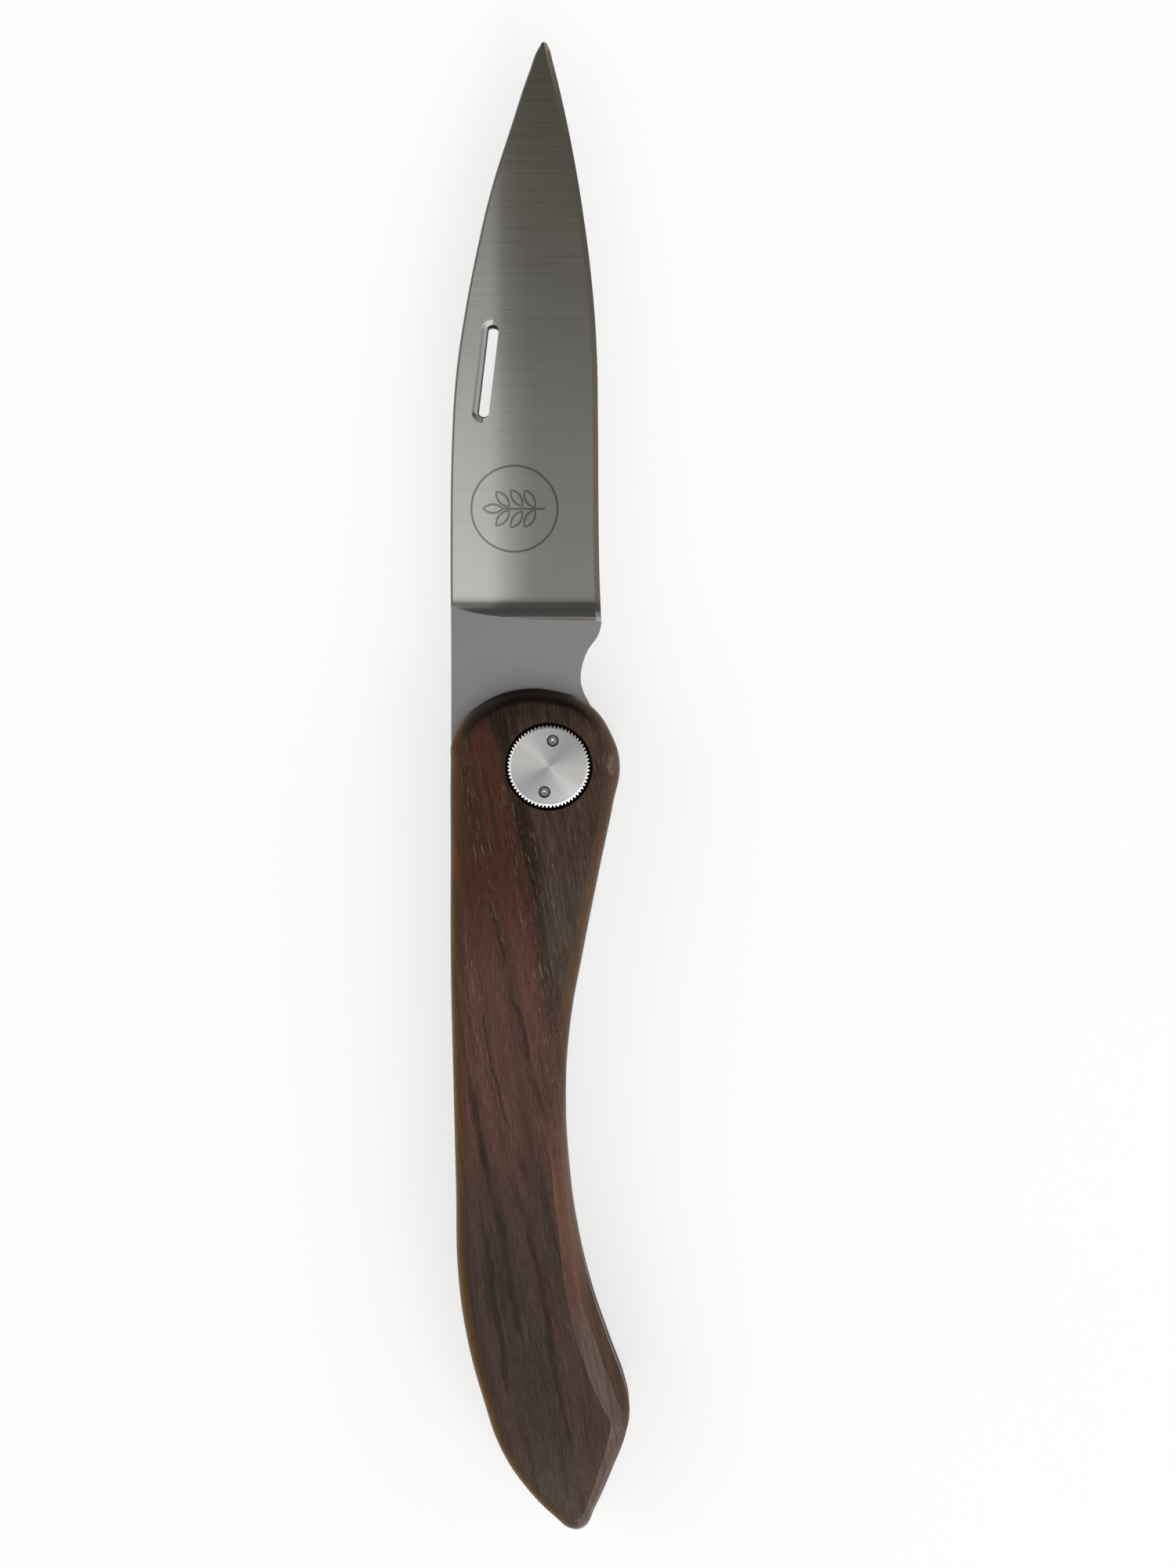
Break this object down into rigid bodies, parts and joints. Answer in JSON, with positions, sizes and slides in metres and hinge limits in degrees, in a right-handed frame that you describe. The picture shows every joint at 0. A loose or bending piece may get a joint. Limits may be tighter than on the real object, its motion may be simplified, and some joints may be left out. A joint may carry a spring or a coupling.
{
  "type": "folding grafting knife",
  "caption": "Folding knife with a hollow-ground spear-point blade, a slot-shaped window in it, two wooden scales on steel liners and a knurled pivot.",
  "frame": {"origin": "on the pivot's axis, at the rear face that the knife lies on", "axes": "+Y towards the blade's tip when open, +X towards its cutting edge, +Z out of the front face, along the pivot"},
  "size_m": [0.0257, 0.2137, 0.0154],
  "materials": {
    "rosewood": "oiled satin",
    "blade_steel": "fine satin, ground across the blade",
    "liner_steel": "satin",
    "turned_steel": "turned, with a knurled rim",
    "washer_bronze": "rolled bronze"
  },
  "bodies": {
    "handle": {"front_scale": "rosewood", "rear_scale": "rosewood", "front_liner": "liner_steel", "rear_liner": "liner_steel", "back_spacer": "liner_steel", "pivot_head": "turned_steel", "pivot_axle": "liner_steel", "front_washer": "washer_bronze", "rear_washer": "washer_bronze", "stop_pin": "turned_steel", "detent_ball": "turned_steel", "spacer_rivet_front": "liner_steel", "spacer_rivet_middle": "liner_steel", "spacer_rivet_rear": "liner_steel", "front_scale_screw_upper": "liner_steel", "front_scale_screw_lower": "liner_steel", "rear_scale_screw_upper": "liner_steel", "rear_scale_screw_lower": "liner_steel"},
    "blade": {"blade": "blade_steel"},
    "pivot_nut": {"pivot_nut": "turned_steel"}
  },
  "joints": [
    {"name": "blade_pivot", "type": "hinge", "parent": "handle", "child": "blade", "pos_m": [0, 0, 0.00746], "axis": [0, 0, -1], "range_deg": [0, 179]},
    {"name": "pivot_nut_turn", "type": "hinge", "parent": "handle", "child": "pivot_nut", "pos_m": [0, 0, 0.00746], "axis": [0, 0, 1], "range_deg": [0, 45]}
  ]
}
